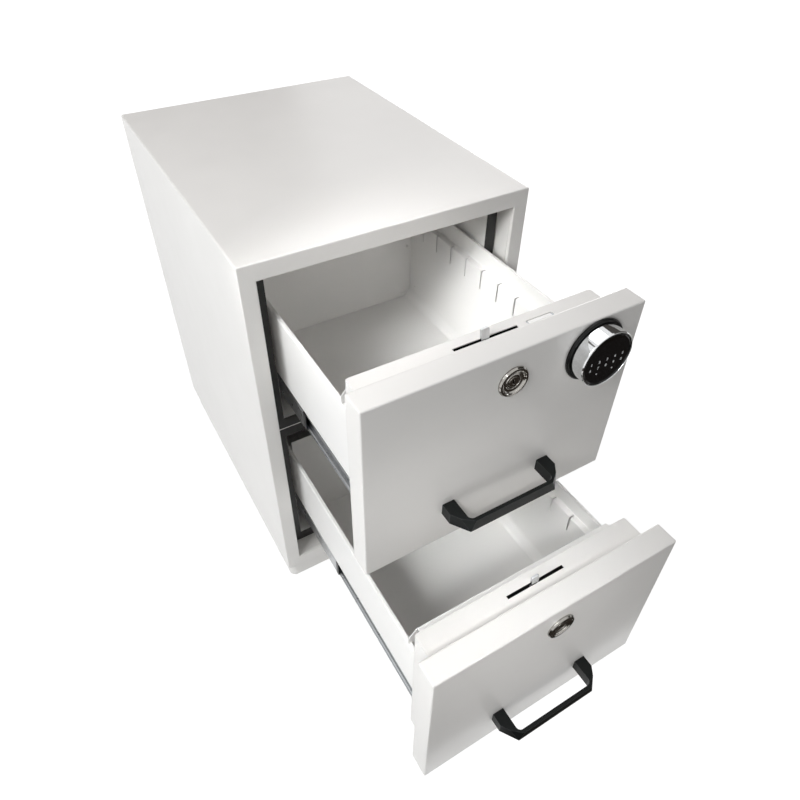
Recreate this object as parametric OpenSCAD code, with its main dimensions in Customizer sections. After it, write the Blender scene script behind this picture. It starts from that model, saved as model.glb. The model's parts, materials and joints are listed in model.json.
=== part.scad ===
// Fire-resistant two-drawer data cabinet, free-standing, both drawers open.
// X is to the right seen from the front, Y runs from the front to the back, Z is up.
// The origin is the centre of the plinth's underside. All sizes are in millimetres.

/* [Cabinet] */
// Width of the cabinet body
body_w = 530; // [480:5:620]
// Depth of the cabinet body
body_d = 675; // [640:5:740]
// Height of the cabinet body above the plinth
body_h = 763; // [740:1:800]
// Height of the plinth
plinth_h = 42; // [30:1:80]
// Width of the two front stiles
stile_w = 28; // [24:1:34]
// Height of the front top rail
top_rail_h = 31; // [28:1:40]
// Height of the front bottom rail
bottom_rail_h = 27; // [24:1:40]
// Thickness of the insulated back
back_wall = 63; // [50:1:80]
// Thickness of the outer sheet steel
sheet_t = 1.5; // [1:0.1:2]
// Thickness of the sheet that lines the two bays
liner_t = 1.2; // [0.8:0.1:1.6]
// Radius of the body's four long edges
edge_r = 4; // [2.5:0.5:8]
// Gap between a closed drawer front and its seal
seal_gap = 0.3; // [0.2:0.1:0.6]
// Thickness of the bay seals
seal_t = 2.7; // [2:0.1:4]
// Inset of the plinth from the body's sides
plinth_inset = 6; // [2:1:20]
// Corner radius of the plinth
plinth_r = 14; // [5:1:30]

/* [Drawer fronts] */
// Gap between a drawer front and the stiles
side_gap = 4; // [3:0.5:6]
// Gap above the upper drawer front
top_gap = 4; // [3:0.5:6]
// Gap between the two drawer fronts
mid_gap = 8; // [6:0.5:12]
// Gap below the lower drawer front
bottom_gap = 3; // [2:0.5:6]
// Thickness of a drawer front
front_t = 40; // [36:0.5:42]
// Overlap of a drawer front over the edge of its bay
lap = 20; // [18:1:20]
// Gap between a drawer's inner block and its bay
block_gap = 3; // [2:0.5:4]
// Depth of the inner block behind the drawer front
block_d = 47; // [44:1:52]
// How far the upper drawer stands open
upper_open = 313; // [200:1:400]
// Travel of the slides beyond their own length
over_travel = 3; // [0:1:8]

/* [Drawer trays] */
// Thickness of the tray sheet
tray_t = 1.2; // [1:0.1:1.5]
// Gap between a tray's skirt and the bay wall
band_gap = 5; // [4:0.5:8]
// Width of the folded lip on the side walls
lip_w = 6.5; // [4:0.5:8]
// Gap between the slides and the skirt above them
skirt_gap = 10; // [3:1:15]
// Gap between a tray and the bay's back wall
tray_end_gap = 29; // [26:1:40]
// Gap between the inner block and the tray's front wall
front_wall_gap = 17; // [10:1:25]
// Drop from the front's top edge to the tray's front wall
front_wall_drop = 49; // [45:1:60]
// Drop from the front's top edge to the side walls
side_wall_drop = 83; // [78:1:90]
// Drop from the front's top edge to the step in the side walls
step_drop = 122; // [115:1:130]
// Height of the tray floor above the front's bottom edge
floor_z = 24; // [24:0.5:30]
// Width of the slanted corners beside the tray floor
corner_x = 12; // [4:0.5:16]
// Height of the slanted corners beside the tray floor
corner_z = 21; // [8:0.5:24]
// Width of the divider slits in the side walls
slit_w = 3; // [2:0.5:4]
// Height of the divider slits
slit_h = 38; // [25:1:50]
// Distance from slit to slit
slit_pitch = 50.5; // [40:0.5:52]
// Distance from the last slit to the tray's back
slit_end = 50; // [40:1:60]
// Number of slits in a side wall
slit_count = 8; // [4:1:8]

/* [Slides] */
// Thickness of the bars that carry the slides
rail_t = 5; // [4:0.5:6]
// Thickness of the whole slide
slide_x = 12.7; // [12:0.1:13]
// Height of the outer slide member
slide_h = 45.4; // [43:0.2:48]
// Wall thickness of the slide members
slide_t = 1.5; // [1.2:0.1:1.6]
// Drop from the upper front's top edge to its slides' centre line
upper_slide_drop = 259; // [250:1:265]
// Drop from the lower front's top edge to its slides' centre line
lower_slide_drop = 238; // [230:1:250]
// Gap behind the slides
slide_end_gap = 24; // [20:1:26]
// Share of a drawer's travel that its middle slide members make
middle_share = 0.45; // [0.4:0.01:0.55]
// Length of the plastic end buffer
buffer_l = 8; // [5:0.5:10]

/* [Handles] */
// Overall width of a handle
handle_w = 201; // [180:1:220]
// Distance from the drawer front to the handle's outer face
handle_out = 50; // [44:1:60]
// Height of the handle
handle_h = 22; // [18:1:28]
// Width of each handle foot
foot_w = 21; // [16:1:26]
// Thickness of the grip
grip_t = 6.5; // [6:0.5:12]
// Height of the handle's centre above the front's bottom edge
handle_z = 77; // [60:1:100]
// Radius of the handle bolts
handle_bolt_r = 2.5; // [2:0.1:3]

/* [Locks] */
// Drop from the front's top edge to the key locks' centres
lock_drop = 52; // [50:1:58]
// Radius of the key lock's bezel
bezel_r = 25; // [23:0.5:28]
// How far the bezel stands out
bezel_out = 5; // [3:0.5:8]
// Radius of the key plug
plug_r = 8; // [6:0.5:9]
// Radius of the lock spindles
spindle_r = 4; // [3:0.5:5]
// Radial running clearance of plugs and spindles
run_gap = 0.05; // [0.02:0.01:0.1]
// How far the latch arm stands out of the inner block
arm_reach = 20; // [16:0.5:21]
// Width of the latch arm
arm_w = 14; // [10:1:16]
// Thickness of the latch arm
arm_t = 4; // [3:0.5:5]
// Angle that the latch arms lean to the left in the pose shown
arm_lean = 5; // [0:1:10]
// Depth of the latch slot's centre behind the front's face
slot_y = 66; // [63:0.5:68]
// Length of the latch slot
slot_l = 111; // [105:1:114]
// Width of the latch slot
slot_w = 6; // [5.5:0.5:8]
// Distance of the keypad's centre from the middle
keypad_x = 146; // [135:1:155]
// Drop from the front's top edge to the keypad's centre
keypad_drop = 54; // [53:1:62]
// Radius of the keypad's gasket
gasket_r = 52; // [49:0.5:53]
// Thickness of the keypad's gasket
gasket_t = 5; // [4:0.5:6]
// Radius of the keypad's turning housing
housing_r = 46.5; // [42:0.5:48]
// How far the keypad stands out in all
keypad_out = 29.5; // [28:0.5:36]
// Distance of the electronic lock's bolt from the middle
bolt_x = 96; // [92:1:100]
// Length of the electronic lock's bolt
bolt_l = 42; // [30:1:44]
// Thickness of the electronic lock's bolt
bolt_t = 6.4; // [5:0.1:7]
// Lift of the electronic lock's bolt
bolt_lift = 8; // [6:0.5:10]

/* [Hidden] */
$fn = 96;

// Cutting tools run past a face by this much
over = 1;

white = [0.86, 0.86, 0.85];
inner_white = [0.80, 0.80, 0.79];
chalk = [0.82, 0.79, 0.72];
seal_black = [0.12, 0.12, 0.12];
bow_black = [0.06, 0.07, 0.07];
zinc = [0.66, 0.68, 0.70];
dark_steel = [0.22, 0.22, 0.23];
bright = [0.80, 0.80, 0.82];
board_green = [0.10, 0.30, 0.15];

// Index of each drawer
upper = 0;
lower = 1;

// The opening and the two equal drawer fronts in it
open_w = body_w - 2 * stile_w;
open_h = body_h - top_rail_h - bottom_rail_h;
front_w = open_w - 2 * side_gap;
front_h = (open_h - top_gap - mid_gap - bottom_gap) / 2;

// Height of each drawer front's bottom edge above the floor
lower_z = plinth_h + bottom_rail_h + bottom_gap;
front_z = [lower_z + front_h + mid_gap, lower_z];

// The bays, in their drawer's own frame
bay_w = front_w - 2 * lap;
bay_d = body_d - back_wall;
seal_y = front_t + seal_gap;
rebate_y = seal_y + seal_t;
seal_inset = 1;

// The inner block of a drawer head
block_w = bay_w - 2 * block_gap;
block_z = lap + block_gap;
block_top = front_h - block_z;
head_d = front_t + block_d;

// The slides, measured outward from the middle
slide_out = bay_w / 2 - rail_t;
slide_in = slide_out - slide_x;
slide_z = [front_h - upper_slide_drop, front_h - lower_slide_drop];
slide_y0 = head_d + 1;
slide_y1 = bay_d - slide_end_gap;
race_gap = 1.6;
member_gap = 0.7;
middle_x = slide_out - slide_t - member_gap;
middle_h = slide_h - 2 * slide_t - 2 * race_gap;
inner_h = middle_h - 2 * slide_t - 2 * member_gap;
outer_lip = 3.5;
middle_lip = 2.5;
middle_y0 = slide_y0 + buffer_l + 2;
inner_short = 5;

// How far each drawer stands open
drawer_travel = slide_y1 - slide_y0 + over_travel;
opened = [upper_open, drawer_travel];

// The trays
tray_half = bay_w / 2 - band_gap;
wall_half = slide_in;
inside_half = wall_half - tray_t;
tray_back_y = bay_d - tray_end_gap;
tray_top = front_h - side_wall_drop;
step_z = front_h - step_drop;
corner_slope = atan2(corner_z, corner_x);
floor_half = wall_half - corner_x;
inside_floor_half = floor_half - tray_t * tan(corner_slope / 2);
inside_corner_z = floor_z + corner_z + tray_t * tan(45 - corner_slope / 2);
first_slit_y = tray_back_y - slit_end - (slit_count - 1) * slit_pitch;
slit_margin = 3;
slit_half = tray_half - tray_t - slit_margin;
tray_flange = 15;
front_flange_gap = 1;
wall_corner_x = 15;
wall_corner_z = 20;
tray_hole_r = 2;
tray_hole_in = 9;
back_hole_z = 152;
side_hole_y = 20;
side_hole_z = 56;
back_slot_in = 12;
back_slot_l = 14;
back_slot_z = 34;
back_slot_h = 2;

// The handles
handle_half = handle_w / 2;
foot_x = (handle_w - foot_w) / 2;
grip_half = handle_half - foot_w;
bevel_x = 19.5;
bevel_y = 29;
grip_fillet = 8;
bolt_in = 14;
bolt_head_r = 2 * handle_bolt_r;
bolt_head_t = 3.5;

// Three points of the facet at the top front corner of a handle's right-hand end
facet_in = 8;
facet_a = [handle_half - bevel_x / 2, bevel_y / 2 - handle_out, handle_h / 2];
facet_b = [handle_half - bevel_x, -handle_out, -handle_h / 2];
facet_c = [handle_half - bevel_x - facet_in, -handle_out, handle_h / 2];
facet_normal = cross(facet_c - facet_a, facet_b - facet_a);

// The key locks
lock_z = front_h - lock_drop;
core_gap = 0.2;
barrel_r = plug_r + 3;
sleeve_r = spindle_r + 2.5;
barrel_end = 25;
plug_out = 2.5;
plug_end = 20;
plug_gap = 0.3;
key_w = 2.2;
key_h = 9;
key_depth = 12;
bezel_rim = 6;
bezel_dish = 1.2;
arm_l = lock_drop - block_z + arm_reach;
arm_hub_r = 10;
arm_corner = 3;
spindle_end = 1;

// The sheet box that the latch arm turns in
box_end = 4.5;
box_half_d = 8;
box_below = 17;
box_t = 1;
box_half = slot_l / 2 + box_end;
box_y0 = slot_y - box_half_d;
box_y1 = slot_y + box_half_d;
box_z0 = lock_z - box_below;

// The gate that lets a latch arm into its keeper, and the keeper behind it
arm_swing = 50;
gate_half = 16;
keeper_t = 1.5;
keeper_side = 6;
keeper_rise = 0.5;
arm_room = 3.5;
keeper_half = arm_l * sin(arm_swing) + arm_w / 2 + keeper_side;
keeper_z0 = front_h - lap + keeper_rise;
pocket_top = lock_z + arm_l + arm_room;
gate_z0 = front_h - lap - liner_t - over;

// The keypad and the electronic lock
keypad_z = front_h - keypad_drop;
housing_wall = 2.2;
housing_back = gasket_t + 0.3;
housing_floor = 2.5;
face_sink = 0.8;
face_t = 3.2;
board_t = 1.6;
face_y1 = face_sink + face_t - keypad_out;
board_y1 = face_y1 + board_t;
battery_w = 49;
battery_h = 26;
case_t = 2;
case_left = 30;
case_right = 17;
case_front = 10;
case_behind = 5.5;
case_below = 56;
case_x0 = bolt_x - case_left;
case_x1 = keypad_x + case_right;
case_y0 = slot_y - case_front;
case_y1 = head_d - sheet_t - case_behind;
case_z0 = keypad_z - case_below;
spindle_cam_r = 12;
spindle_cam_t = 4;
bolt_flush = 0.5;
bolt_side = 0.4;
bolt_below = 20;
bolt_z0 = lock_z - bolt_below;
bolt_slot_end = 4;
bolt_slot_side = 0.8;
bolt_slot_l = bolt_l + 2 * bolt_slot_end;
bolt_slot_w = bolt_t + 2 * bolt_slot_side;
bolt_pocket = 2;

// A cuboid given by its two corners
module block(x0, x1, y0, y1, z0, z1) {
    translate([x0, y0, z0]) cube([x1 - x0, y1 - y0, z1 - z0]);
}

// A cuboid that is symmetric about the middle plane
module centred(half, y0, y1, z0, z1) {
    block(-half, half, y0, y1, z0, z1);
}

// A cylinder along Y from y0 to y1
module along_y(r, y0, y1) {
    translate([0, y1, 0]) rotate([90, 0, 0]) cylinder(r = r, h = y1 - y0);
}

// A rectangle with round corners, centred across and standing on its lower edge
module round_rect(w, h, r) {
    union() {
        translate([-w / 2 + r, 0]) square([w - 2 * r, h]);
        translate([-w / 2, r]) square([w, h - 2 * r]);
        for (x = [-w / 2 + r, w / 2 - r], z = [r, h - r]) translate([x, z]) circle(r);
    }
}

// Extrudes an outline in X and Z from y0 to y1
module slab(y0, y1) {
    translate([0, y1, 0]) rotate([90, 0, 0]) linear_extrude(y1 - y0) children();
}

// Keeps its children and adds their mirror image on the left
module both_sides() {
    children();
    mirror([1, 0, 0]) children();
}

// Places a bay's pieces, which use the closed drawer's frame
module in_bay(k) {
    translate([0, -body_d / 2, front_z[k]]) children();
}

// Places a drawer's pieces in the pose shown
module in_drawer(k) {
    translate([0, -body_d / 2 - opened[k], front_z[k]]) children();
}

// Places a drawer's middle slide members in the pose shown
module in_middle(k) {
    translate([0, -body_d / 2 - middle_share * opened[k], front_z[k]]) children();
}

// Places the pieces that turn about a key lock's centre
module at_lock(k) {
    in_drawer(k) translate([0, 0, lock_z]) children();
}

// Turns the latch parts to the angle at which they are shown
module leaning() {
    rotate([0, -arm_lean, 0]) children();
}

// Places the keypad's pieces
module at_keypad() {
    in_drawer(upper) translate([keypad_x, 0, keypad_z]) children();
}

// Cabinet body

module body_outline(inset) {
    translate([0, inset]) round_rect(body_w - 2 * inset, body_h - 2 * inset, edge_r - inset);
}

module outer_shell() {
    color(white) translate([0, -body_d / 2, plinth_h]) difference() {
        slab(0, body_d) body_outline(0);
        slab(sheet_t, body_d + over) body_outline(sheet_t);
        centred(open_w / 2, -over, sheet_t + over, bottom_rail_h, body_h - top_rail_h);
    }
}

module back_panel() {
    color(white) translate([0, body_d / 2 - sheet_t, plinth_h]) slab(0, sheet_t) body_outline(sheet_t);
}

// What a bay's ceiling leaves free for the latch arm, its keeper and the electronic lock's bolt
module ceiling_cuts(k) {
    in_bay(k) {
        centred(gate_half, seal_y - over, slot_y, gate_z0, pocket_top);
        centred(keeper_half + keeper_t, box_y0, box_y1, gate_z0, pocket_top);
        if (k == upper)
            block(bolt_x - bolt_slot_l / 2 - bolt_pocket, bolt_x + bolt_slot_l / 2 + bolt_pocket,
                slot_y - bolt_slot_w / 2 - bolt_pocket, slot_y + bolt_slot_w / 2 + bolt_pocket,
                gate_z0, front_h - lap + bolt_lift);
    }
}

module front_jamb() {
    color(white) difference() {
        union() {
            translate([0, -body_d / 2, plinth_h + bottom_rail_h]) difference() {
                centred(open_w / 2 + liner_t, sheet_t, rebate_y + liner_t, -liner_t, open_h + liner_t);
                centred(open_w / 2, sheet_t - over, rebate_y, 0, open_h);
            }
            in_bay(upper) centred(open_w / 2, seal_y, rebate_y + liner_t / 2,
                -mid_gap / 2 - seal_inset, seal_inset - mid_gap / 2);
        }
        for (k = [upper, lower]) {
            in_bay(k) centred(bay_w / 2, rebate_y - over, rebate_y + liner_t + over, lap, front_h - lap);
            ceiling_cuts(k);
        }
    }
}

module insulation_jacket() {
    inner_y = rebate_y + liner_t;
    color(chalk) difference() {
        translate([0, -body_d / 2, plinth_h]) slab(sheet_t, body_d - sheet_t) body_outline(sheet_t);
        translate([0, -body_d / 2, plinth_h + bottom_rail_h])
            centred(open_w / 2 + liner_t, 0, inner_y, -liner_t, open_h + liner_t);
        translate([0, -body_d / 2, 0])
            centred(bay_w / 2 + liner_t, inner_y - over, bay_d + liner_t,
                front_z[lower] + lap - liner_t, front_z[upper] + front_h - lap + liner_t);
        ceiling_cuts(upper);
    }
}

module divider_core() {
    color(chalk) difference() {
        translate([0, -body_d / 2, 0])
            centred(bay_w / 2 + liner_t, rebate_y + liner_t, bay_d + liner_t,
                front_z[lower] + front_h - lap + liner_t, front_z[upper] + lap - liner_t);
        ceiling_cuts(lower);
    }
}

module bay_liner(k) {
    color(inner_white) difference() {
        in_bay(k) difference() {
            centred(bay_w / 2 + liner_t, rebate_y + liner_t, bay_d + liner_t,
                lap - liner_t, front_h - lap + liner_t);
            centred(bay_w / 2, rebate_y, bay_d, lap, front_h - lap);
        }
        ceiling_cuts(k);
    }
}

module bay_seal(k) {
    gap_above = (k == upper ? top_gap : mid_gap / 2) - seal_inset;
    gap_below = (k == upper ? mid_gap / 2 : bottom_gap) - seal_inset;
    color(seal_black) in_bay(k) difference() {
        centred(front_w / 2 + seal_inset, seal_y, rebate_y, -gap_below, front_h + gap_above);
        centred(bay_w / 2 + seal_inset, seal_y - over, rebate_y + over,
            lap - seal_inset, front_h - lap + seal_inset);
        centred(gate_half, seal_y - over, rebate_y + over, front_h - lap, pocket_top);
    }
}

module plinth() {
    plinth_w = body_w - 2 * plinth_inset;
    plinth_d = body_d - 2 * plinth_inset;
    color(white) difference() {
        translate([0, -plinth_d / 2, 0]) linear_extrude(plinth_h) round_rect(plinth_w, plinth_d, plinth_r);
        translate([0, -plinth_d / 2 + sheet_t, sheet_t]) linear_extrude(plinth_h)
            round_rect(plinth_w - 2 * sheet_t, plinth_d - 2 * sheet_t, plinth_r - sheet_t);
    }
}

module keeper(k) {
    color(zinc) in_bay(k) difference() {
        centred(keeper_half + keeper_t, box_y0, box_y1, keeper_z0, pocket_top);
        centred(keeper_half, box_y0 + keeper_t, box_y1 - keeper_t, keeper_z0 - over, pocket_top - keeper_t);
        centred(gate_half, box_y0 - over, slot_y, keeper_z0 - over, pocket_top - keeper_t);
    }
}

// Slides

// Repeats its children on both sides, at the height of a drawer's slides
module at_slides(k) {
    both_sides() translate([0, 0, slide_z[k]]) children();
}

// A channel on the right-hand side, its web at x0 and its flanges ending at x1
module channel(x0, x1, h, y0, y1) {
    web_x0 = x1 > x0 ? x0 : x0 - slide_t;
    union() {
        block(web_x0, web_x0 + slide_t, y0, y1, -h / 2, h / 2);
        block(min(x0, x1), max(x0, x1), y0, y1, h / 2 - slide_t, h / 2);
        block(min(x0, x1), max(x0, x1), y0, y1, -h / 2, -h / 2 + slide_t);
    }
}

module slide_rails(k) {
    color(zinc) in_bay(k) at_slides(k)
        block(slide_out, slide_out + rail_t, slide_y0, slide_y1, -slide_h / 2, slide_h / 2);
}

module outer_slides(k) {
    color(zinc) in_bay(k) at_slides(k)
        channel(slide_out, slide_in + outer_lip, slide_h, slide_y0, slide_y1);
}

module middle_slides(k) {
    color(bright) in_middle(k) at_slides(k)
        channel(middle_x, slide_in + middle_lip, middle_h, middle_y0, slide_y1);
}

module slide_buffers(k) {
    color(bow_black) in_middle(k) at_slides(k)
        channel(middle_x, slide_in + middle_lip, middle_h, middle_y0 - buffer_l, middle_y0);
}

module inner_slides(k) {
    color(bright) in_drawer(k) at_slides(k)
        channel(slide_in, middle_x - slide_t - member_gap, inner_h, slide_y0, slide_y1 - inner_short);
}

// Drawer heads

module front_shell(k) {
    color(white) in_drawer(k) difference() {
        centred(front_w / 2, 0, front_t, 0, front_h);
        centred(front_w / 2 - sheet_t, sheet_t, front_t - sheet_t, sheet_t, front_h - sheet_t);
        centred(block_w / 2 - sheet_t, front_t - sheet_t - over, front_t + over,
            block_z + sheet_t, block_top - sheet_t);
        translate([0, 0, lock_z]) along_y(barrel_r, -over, sheet_t + over);
        for (x = [-foot_x, foot_x])
            translate([x, 0, handle_z]) along_y(handle_bolt_r + core_gap, -over, sheet_t + over);
        if (k == upper)
            translate([keypad_x, 0, keypad_z]) along_y(sleeve_r, -over, sheet_t + over);
    }
}

module inner_block(k) {
    color(white) in_drawer(k) difference() {
        centred(block_w / 2, front_t, head_d, block_z, block_top);
        centred(block_w / 2 - sheet_t, front_t - over, head_d - sheet_t, block_z + sheet_t,
            block_top - sheet_t);
        centred(slot_l / 2, slot_y - slot_w / 2, slot_y + slot_w / 2, block_top - sheet_t - over,
            block_top + over);
        if (k == upper) bolt_slot(block_top - sheet_t - over, block_top + over);
    }
}

// The oval slot above the electronic lock's bolt
module bolt_slot(z0, z1) {
    straight = bolt_slot_l - bolt_slot_w;
    translate([bolt_x, slot_y, z0]) linear_extrude(z1 - z0) union() {
        square([straight, bolt_slot_w], center = true);
        for (x = [-straight / 2, straight / 2]) translate([x, 0]) circle(bolt_slot_w / 2);
    }
}

module front_core(k) {
    color(chalk) in_drawer(k) difference() {
        union() {
            centred(front_w / 2 - sheet_t, sheet_t, front_t - sheet_t, sheet_t, front_h - sheet_t);
            centred(block_w / 2 - sheet_t, front_t - sheet_t - over, head_d - sheet_t,
                block_z + sheet_t, block_top - sheet_t);
        }
        centred(box_half, box_y0, box_y1, box_z0, block_top);
        translate([0, 0, lock_z]) {
            along_y(barrel_r + core_gap, 0, barrel_end + 1);
            along_y(sleeve_r + core_gap, 0, box_y0 + over);
        }
        for (x = [-foot_x, foot_x])
            translate([x, 0, handle_z]) along_y(bolt_head_r + core_gap, 0, sheet_t + bolt_head_t + core_gap);
        if (k == upper) {
            block(case_x0, case_x1, case_y0, case_y1, case_z0, block_top);
            translate([keypad_x, 0, keypad_z]) along_y(sleeve_r, 0, case_y0 + over);
        }
    }
}

module lock_box(k) {
    color(dark_steel) in_drawer(k) difference() {
        centred(box_half, box_y0, box_y1, box_z0, block_top - sheet_t);
        centred(box_half - box_t, box_y0 + box_t, box_y1 - box_t, box_z0 + box_t, block_top);
        translate([0, 0, lock_z]) along_y(sleeve_r, box_y0 - over, box_y0 + box_t + over);
    }
}

// Trays

// A closed outline from the points of its right half, in order from the bottom up
module symmetric(points) {
    n = len(points);
    polygon(concat(points, [for (i = [1 : n]) [-points[n - i][0], points[n - i][1]]]));
}

// One folded sheet: floor, slanted corners, walls, ledges, and skirts with a lip on top
module tray(k) {
    skirt_z = slide_z[k] + slide_h / 2 + skirt_gap;
    color(inner_white) in_drawer(k) difference() {
        union() {
            slab(head_d, tray_back_y) symmetric([[floor_half, floor_z],
                [wall_half, floor_z + corner_z], [wall_half, step_z - tray_t],
                [tray_half - tray_t, step_z - tray_t], [tray_half - tray_t, skirt_z],
                [tray_half, skirt_z], [tray_half, tray_top], [tray_half - lip_w, tray_top],
                [tray_half - lip_w, tray_top - tray_t], [tray_half - tray_t, tray_top - tray_t],
                [tray_half - tray_t, step_z], [inside_half, step_z],
                [inside_half, inside_corner_z], [inside_floor_half, floor_z + tray_t]]);
            both_sides() block(wall_half - tray_flange, wall_half - tray_t / 2, head_d, head_d + tray_t,
                floor_z + corner_z, step_z - tray_t / 2);
        }
        both_sides() {
            for (i = [0 : slit_count - 1])
                translate([0, first_slit_y + i * slit_pitch, 0])
                    block(inside_half - over, slit_half, -slit_w / 2, slit_w / 2,
                        step_z - slit_h, step_z + over);
            translate([inside_half, tray_back_y - side_hole_y, side_hole_z]) rotate([0, 90, 0])
                cylinder(r = tray_hole_r, h = 2 * tray_t + over, center = true);
        }
    }
}

module tray_back(k) {
    color(inner_white) in_drawer(k) difference() {
        slab(tray_back_y - tray_t, tray_back_y) symmetric([[inside_floor_half, floor_z + tray_t],
            [inside_half, inside_corner_z], [inside_half, tray_top]]);
        both_sides() {
            translate([inside_half - tray_hole_in, 0, back_hole_z])
                along_y(tray_hole_r, tray_back_y - tray_t - over, tray_back_y + over);
            block(inside_half - back_slot_in - back_slot_l, inside_half - back_slot_in,
                tray_back_y - tray_t - over, tray_back_y + over, back_slot_z, back_slot_z + back_slot_h);
        }
    }
}

module tray_front(k) {
    y0 = head_d + front_wall_gap;
    top = front_h - front_wall_drop;
    waist = tray_half - lip_w;
    color(inner_white) in_drawer(k) union() {
        slab(y0, y0 + tray_t) symmetric([[inside_floor_half, floor_z + tray_t],
            [inside_half, inside_corner_z], [inside_half, step_z], [waist, step_z],
            [waist, tray_top], [tray_half, tray_top], [tray_half, top - wall_corner_z],
            [tray_half - wall_corner_x, top]]);
        centred(tray_half - wall_corner_x, head_d + front_flange_gap, y0 + tray_t / 2,
            top - tray_t, top);
    }
}

// Handles

module grip_hollow() {
    inner_y = handle_out - grip_t;
    union() {
        translate([-grip_half, grip_fillet - inner_y]) square([2 * grip_half, inner_y - grip_fillet]);
        translate([grip_fillet - grip_half, -inner_y])
            square([2 * (grip_half - grip_fillet), grip_fillet + over]);
        for (x = [grip_fillet - grip_half, grip_half - grip_fillet])
            translate([x, grip_fillet - inner_y]) circle(grip_fillet);
    }
}

// What the facet at the handle's right-hand end takes off
module facet_cut() {
    s = 2 * handle_h;
    n = facet_normal;
    translate(facet_b) rotate([0, acos(n[2] / norm(n)), atan2(n[1], n[0])])
        translate([-s, -s, 0]) cube([2 * s, 2 * s, s]);
}

module handle(k) {
    color(bow_black) in_drawer(k) translate([0, 0, handle_z]) difference() {
        translate([0, 0, -handle_h / 2]) linear_extrude(handle_h)
            polygon([[-handle_half, 0], [handle_half, 0], [handle_half, bevel_y - handle_out],
                [handle_half - bevel_x, -handle_out], [bevel_x - handle_half, -handle_out],
                [-handle_half, bevel_y - handle_out]]);
        translate([0, 0, -handle_h / 2 - over]) linear_extrude(handle_h + 2 * over) grip_hollow();
        both_sides() facet_cut();
        for (x = [-foot_x, foot_x])
            translate([x, 0, 0]) along_y(handle_bolt_r + run_gap, -bolt_in - over, over);
    }
}

module handle_bolts(k) {
    color(zinc) in_drawer(k) for (x = [-foot_x, foot_x])
        translate([x, 0, handle_z]) {
            along_y(handle_bolt_r, -bolt_in, sheet_t + run_gap);
            along_y(bolt_head_r, sheet_t, sheet_t + bolt_head_t);
        }
}

// Key locks

module key_bezel(k) {
    color(bright) at_lock(k) rotate([90, 0, 0]) rotate_extrude()
        polygon([[barrel_r + core_gap, 0], [bezel_r, 0], [bezel_r, 1], [bezel_r - 2, bezel_out],
            [bezel_r - bezel_rim, bezel_out], [barrel_r + 2, bezel_dish],
            [barrel_r + core_gap, bezel_dish]]);
}

module lock_barrel(k) {
    color(bright) at_lock(k) difference() {
        union() {
            along_y(barrel_r, 1 - plug_out, barrel_end);
            along_y(sleeve_r, barrel_end - over, box_y0);
        }
        along_y(plug_r + run_gap, -plug_out - over, plug_end + plug_gap);
        along_y(spindle_r + run_gap, 0, box_y0 + over);
    }
}

module key_plug(k) {
    color(zinc) at_lock(k) leaning() difference() {
        along_y(plug_r, -plug_out, plug_end);
        centred(key_w / 2, -plug_out - over, key_depth, -key_h / 2, key_h / 2);
    }
}

module lock_spindle(k) {
    color(zinc) at_lock(k) along_y(spindle_r, plug_end, slot_y + arm_t / 2 + spindle_end);
}

module latch_arm(k) {
    color(bright) at_lock(k) leaning() translate([0, slot_y - arm_t / 2, 0]) difference() {
        union() {
            along_y(arm_hub_r, 0, arm_t);
            slab(0, arm_t) polygon([[-arm_w / 2, 0], [arm_w / 2, 0], [arm_w / 2, arm_l - arm_corner],
                [arm_w / 2 - arm_corner, arm_l], [-arm_w / 2, arm_l]]);
        }
        along_y(spindle_r + run_gap, -over, arm_t + over);
    }
}

// Keypad and electronic lock, on the upper drawer

module keypad_gasket() {
    color(seal_black) at_keypad() rotate([90, 0, 0]) rotate_extrude()
        polygon([[sleeve_r, 0], [gasket_r, 0], [gasket_r, gasket_t - 2], [gasket_r - 2, gasket_t],
            [sleeve_r, gasket_t]]);
}

module keypad_housing() {
    bore_r = housing_r - housing_wall;
    color(bright) at_keypad() rotate([90, 0, 0]) rotate_extrude()
        polygon([[0, housing_back], [housing_r - 1, housing_back], [housing_r, housing_back + 1],
            [housing_r, keypad_out - 2.5], [housing_r - 1.2, keypad_out], [bore_r, keypad_out],
            [bore_r, housing_back + housing_floor], [0, housing_back + housing_floor]]);
}

module keypad_face() {
    color(bow_black) at_keypad() along_y(housing_r - housing_wall, face_sink - keypad_out, face_y1);
}

module keypad_board() {
    color(board_green) at_keypad() along_y(housing_r - housing_wall - core_gap, face_y1, board_y1);
}

module keypad_battery() {
    color(seal_black) at_keypad()
        centred(battery_w / 2, board_y1, -housing_back - housing_floor, -battery_h / 2, battery_h / 2);
}

module keypad_spindle() {
    color(zinc) at_keypad() {
        along_y(spindle_r, -housing_back, slot_y + spindle_cam_t);
        along_y(spindle_cam_r, slot_y - spindle_cam_t / 2, slot_y + spindle_cam_t / 2);
    }
}

module electronic_lock_case() {
    color(zinc) in_drawer(upper) difference() {
        block(case_x0, case_x1, case_y0, case_y1, case_z0, block_top - sheet_t);
        block(case_x0 + case_t, case_x1 - case_t, case_y0 + case_t, case_y1 - case_t,
            case_z0 + case_t, block_top - sheet_t - case_t);
        translate([bolt_x, slot_y, 0]) centred(bolt_l / 2 + bolt_side, -bolt_t / 2 - bolt_side,
            bolt_t / 2 + bolt_side, lock_z, block_top);
        translate([keypad_x, 0, keypad_z]) along_y(spindle_r + run_gap, 0, case_y0 + case_t + over);
    }
}

module electronic_lock_bolt() {
    color(inner_white) in_drawer(upper) translate([bolt_x, slot_y, 0])
        centred(bolt_l / 2, -bolt_t / 2, bolt_t / 2, bolt_z0, block_top - bolt_flush);
}

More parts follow.
